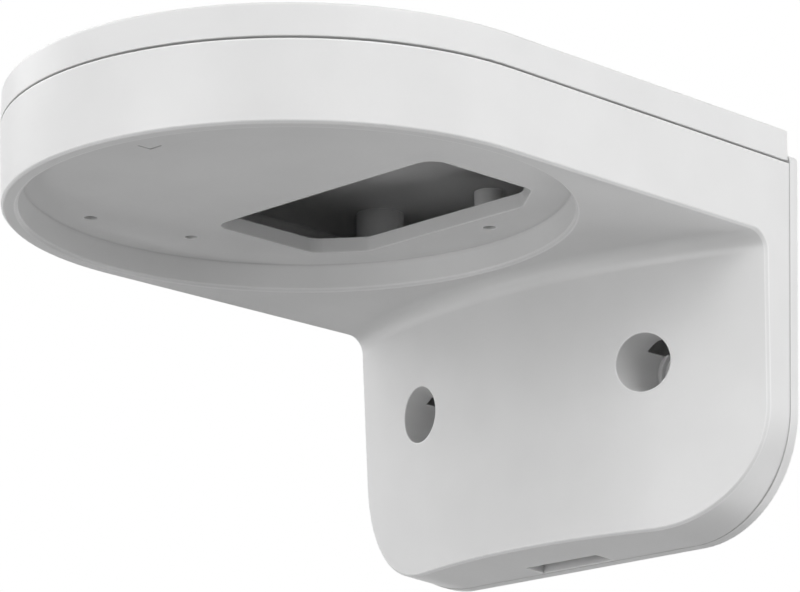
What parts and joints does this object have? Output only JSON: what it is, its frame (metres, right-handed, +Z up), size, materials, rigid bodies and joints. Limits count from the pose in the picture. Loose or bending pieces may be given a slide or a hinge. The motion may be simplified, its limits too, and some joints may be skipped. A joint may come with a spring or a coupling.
{
  "type": "camera wall bracket",
  "caption": "L-shaped wall bracket for a dome camera, with a round-nosed arm, a sunk camera seat with a cable window, a wall part with screw access bores, and a screwed top cover.",
  "frame": {"origin": "on the wall plane, midway between the two wall screws", "axes": "+Z up, +Y into the wall, so that the arm reaches out along -Y, and +X to the right of someone who faces the wall"},
  "size_m": [0.1226, 0.1483, 0.0858],
  "materials": {
    "casting_paint": "matte white powder coat on a light-metal casting",
    "cover_paint": "matte white powder coat on a light-metal casting",
    "screw_steel": "plain stainless steel"
  },
  "bodies": {
    "root": {"bracket_body": "casting_paint", "top_cover": "cover_paint", "cover_screw_left": "screw_steel", "cover_screw_right": "screw_steel", "cover_screw_front": "screw_steel"}
  },
  "joints": []
}
